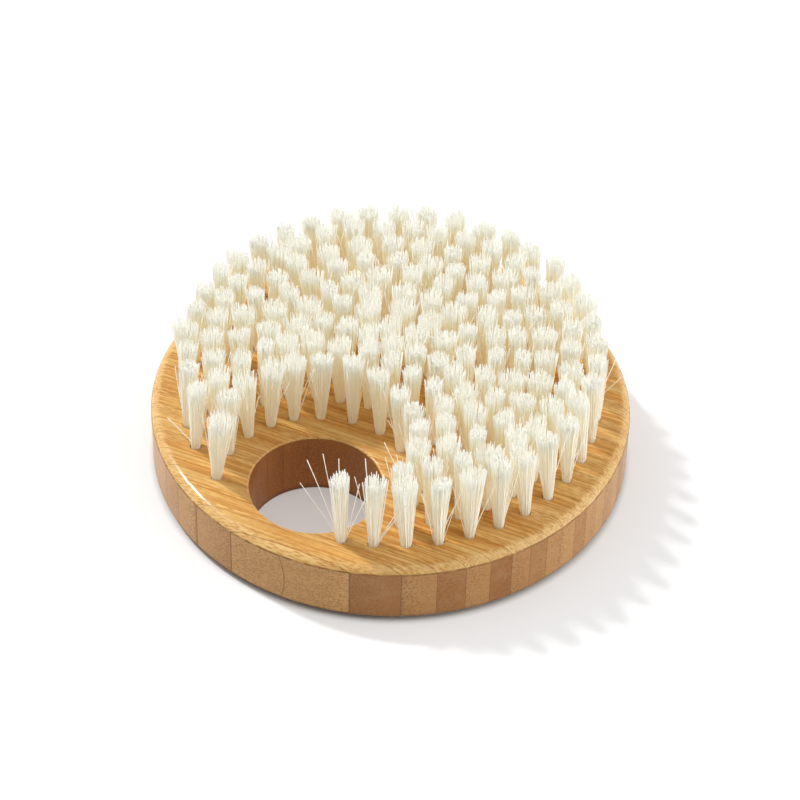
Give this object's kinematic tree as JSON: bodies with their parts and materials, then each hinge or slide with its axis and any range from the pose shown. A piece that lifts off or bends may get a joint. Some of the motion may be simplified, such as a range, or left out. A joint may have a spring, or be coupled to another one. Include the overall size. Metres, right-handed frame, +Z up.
{
  "type": "body dry brush",
  "caption": "Round palm-held body dry brush: laminated bamboo block with a finger hole and rings of trimmed bristle tufts.",
  "frame": {"origin": "centre of the round block's flat underside, which the brush lies on", "axes": "+Z up out of the block through the bristles, the finger hole towards -Y, the bamboo strips run within 5.5 degrees of X"},
  "size_m": [0.12, 0.12, 0.0373],
  "materials": {
    "bamboo": "satin lacquered caramel bamboo, edge grain",
    "bristle": "natural cream-white bristle, trimmed ends, matt to slightly silky"
  },
  "bodies": {
    "root": {"bamboo_strip_01": "bamboo", "bamboo_strip_02": "bamboo", "bamboo_strip_03": "bamboo", "bamboo_strip_04_left": "bamboo", "bamboo_strip_04_right": "bamboo", "bamboo_strip_05_left": "bamboo", "bamboo_strip_05_right": "bamboo", "bamboo_strip_06_left": "bamboo", "bamboo_strip_06_right": "bamboo", "bamboo_strip_07_left": "bamboo", "bamboo_strip_07_right": "bamboo", "bamboo_strip_08_left": "bamboo", "bamboo_strip_08_right": "bamboo", "bamboo_strip_09_left": "bamboo", "bamboo_strip_09_right": "bamboo", "bamboo_strip_10": "bamboo", "bamboo_strip_11": "bamboo", "bamboo_strip_12": "bamboo", "bamboo_strip_13": "bamboo", "bamboo_strip_14": "bamboo", "bamboo_strip_15": "bamboo", "bamboo_strip_16": "bamboo", "bamboo_strip_17": "bamboo", "bamboo_strip_18": "bamboo", "bamboo_strip_19": "bamboo", "bamboo_strip_20": "bamboo", "bamboo_strip_21": "bamboo", "bamboo_strip_22": "bamboo", "bamboo_strip_23": "bamboo", "bamboo_strip_24": "bamboo", "bamboo_strip_25": "bamboo", "bamboo_strip_26": "bamboo", "bamboo_strip_27": "bamboo", "bamboo_strip_28": "bamboo", "tuft_at_hole": "bristle", "tuft_middle": "bristle", "tuft_ring_1_left": "bristle", "tuft_ring_1_right": "bristle", "tuft_ring_2_left": "bristle", "tuft_ring_2_right": "bristle", "tuft_ring_3_left": "bristle", "tuft_ring_3_right": "bristle", "tuft_ring_4_left": "bristle", "tuft_ring_4_right": "bristle", "tuft_ring_5_left": "bristle", "tuft_ring_5_right": "bristle", "tuft_ring_6_left": "bristle", "tuft_ring_6_right": "bristle", "tuft_ring_7_left": "bristle", "tuft_ring_7_right": "bristle", "tuft_ring_8_left": "bristle", "tuft_ring_8_right": "bristle"}
  },
  "joints": []
}
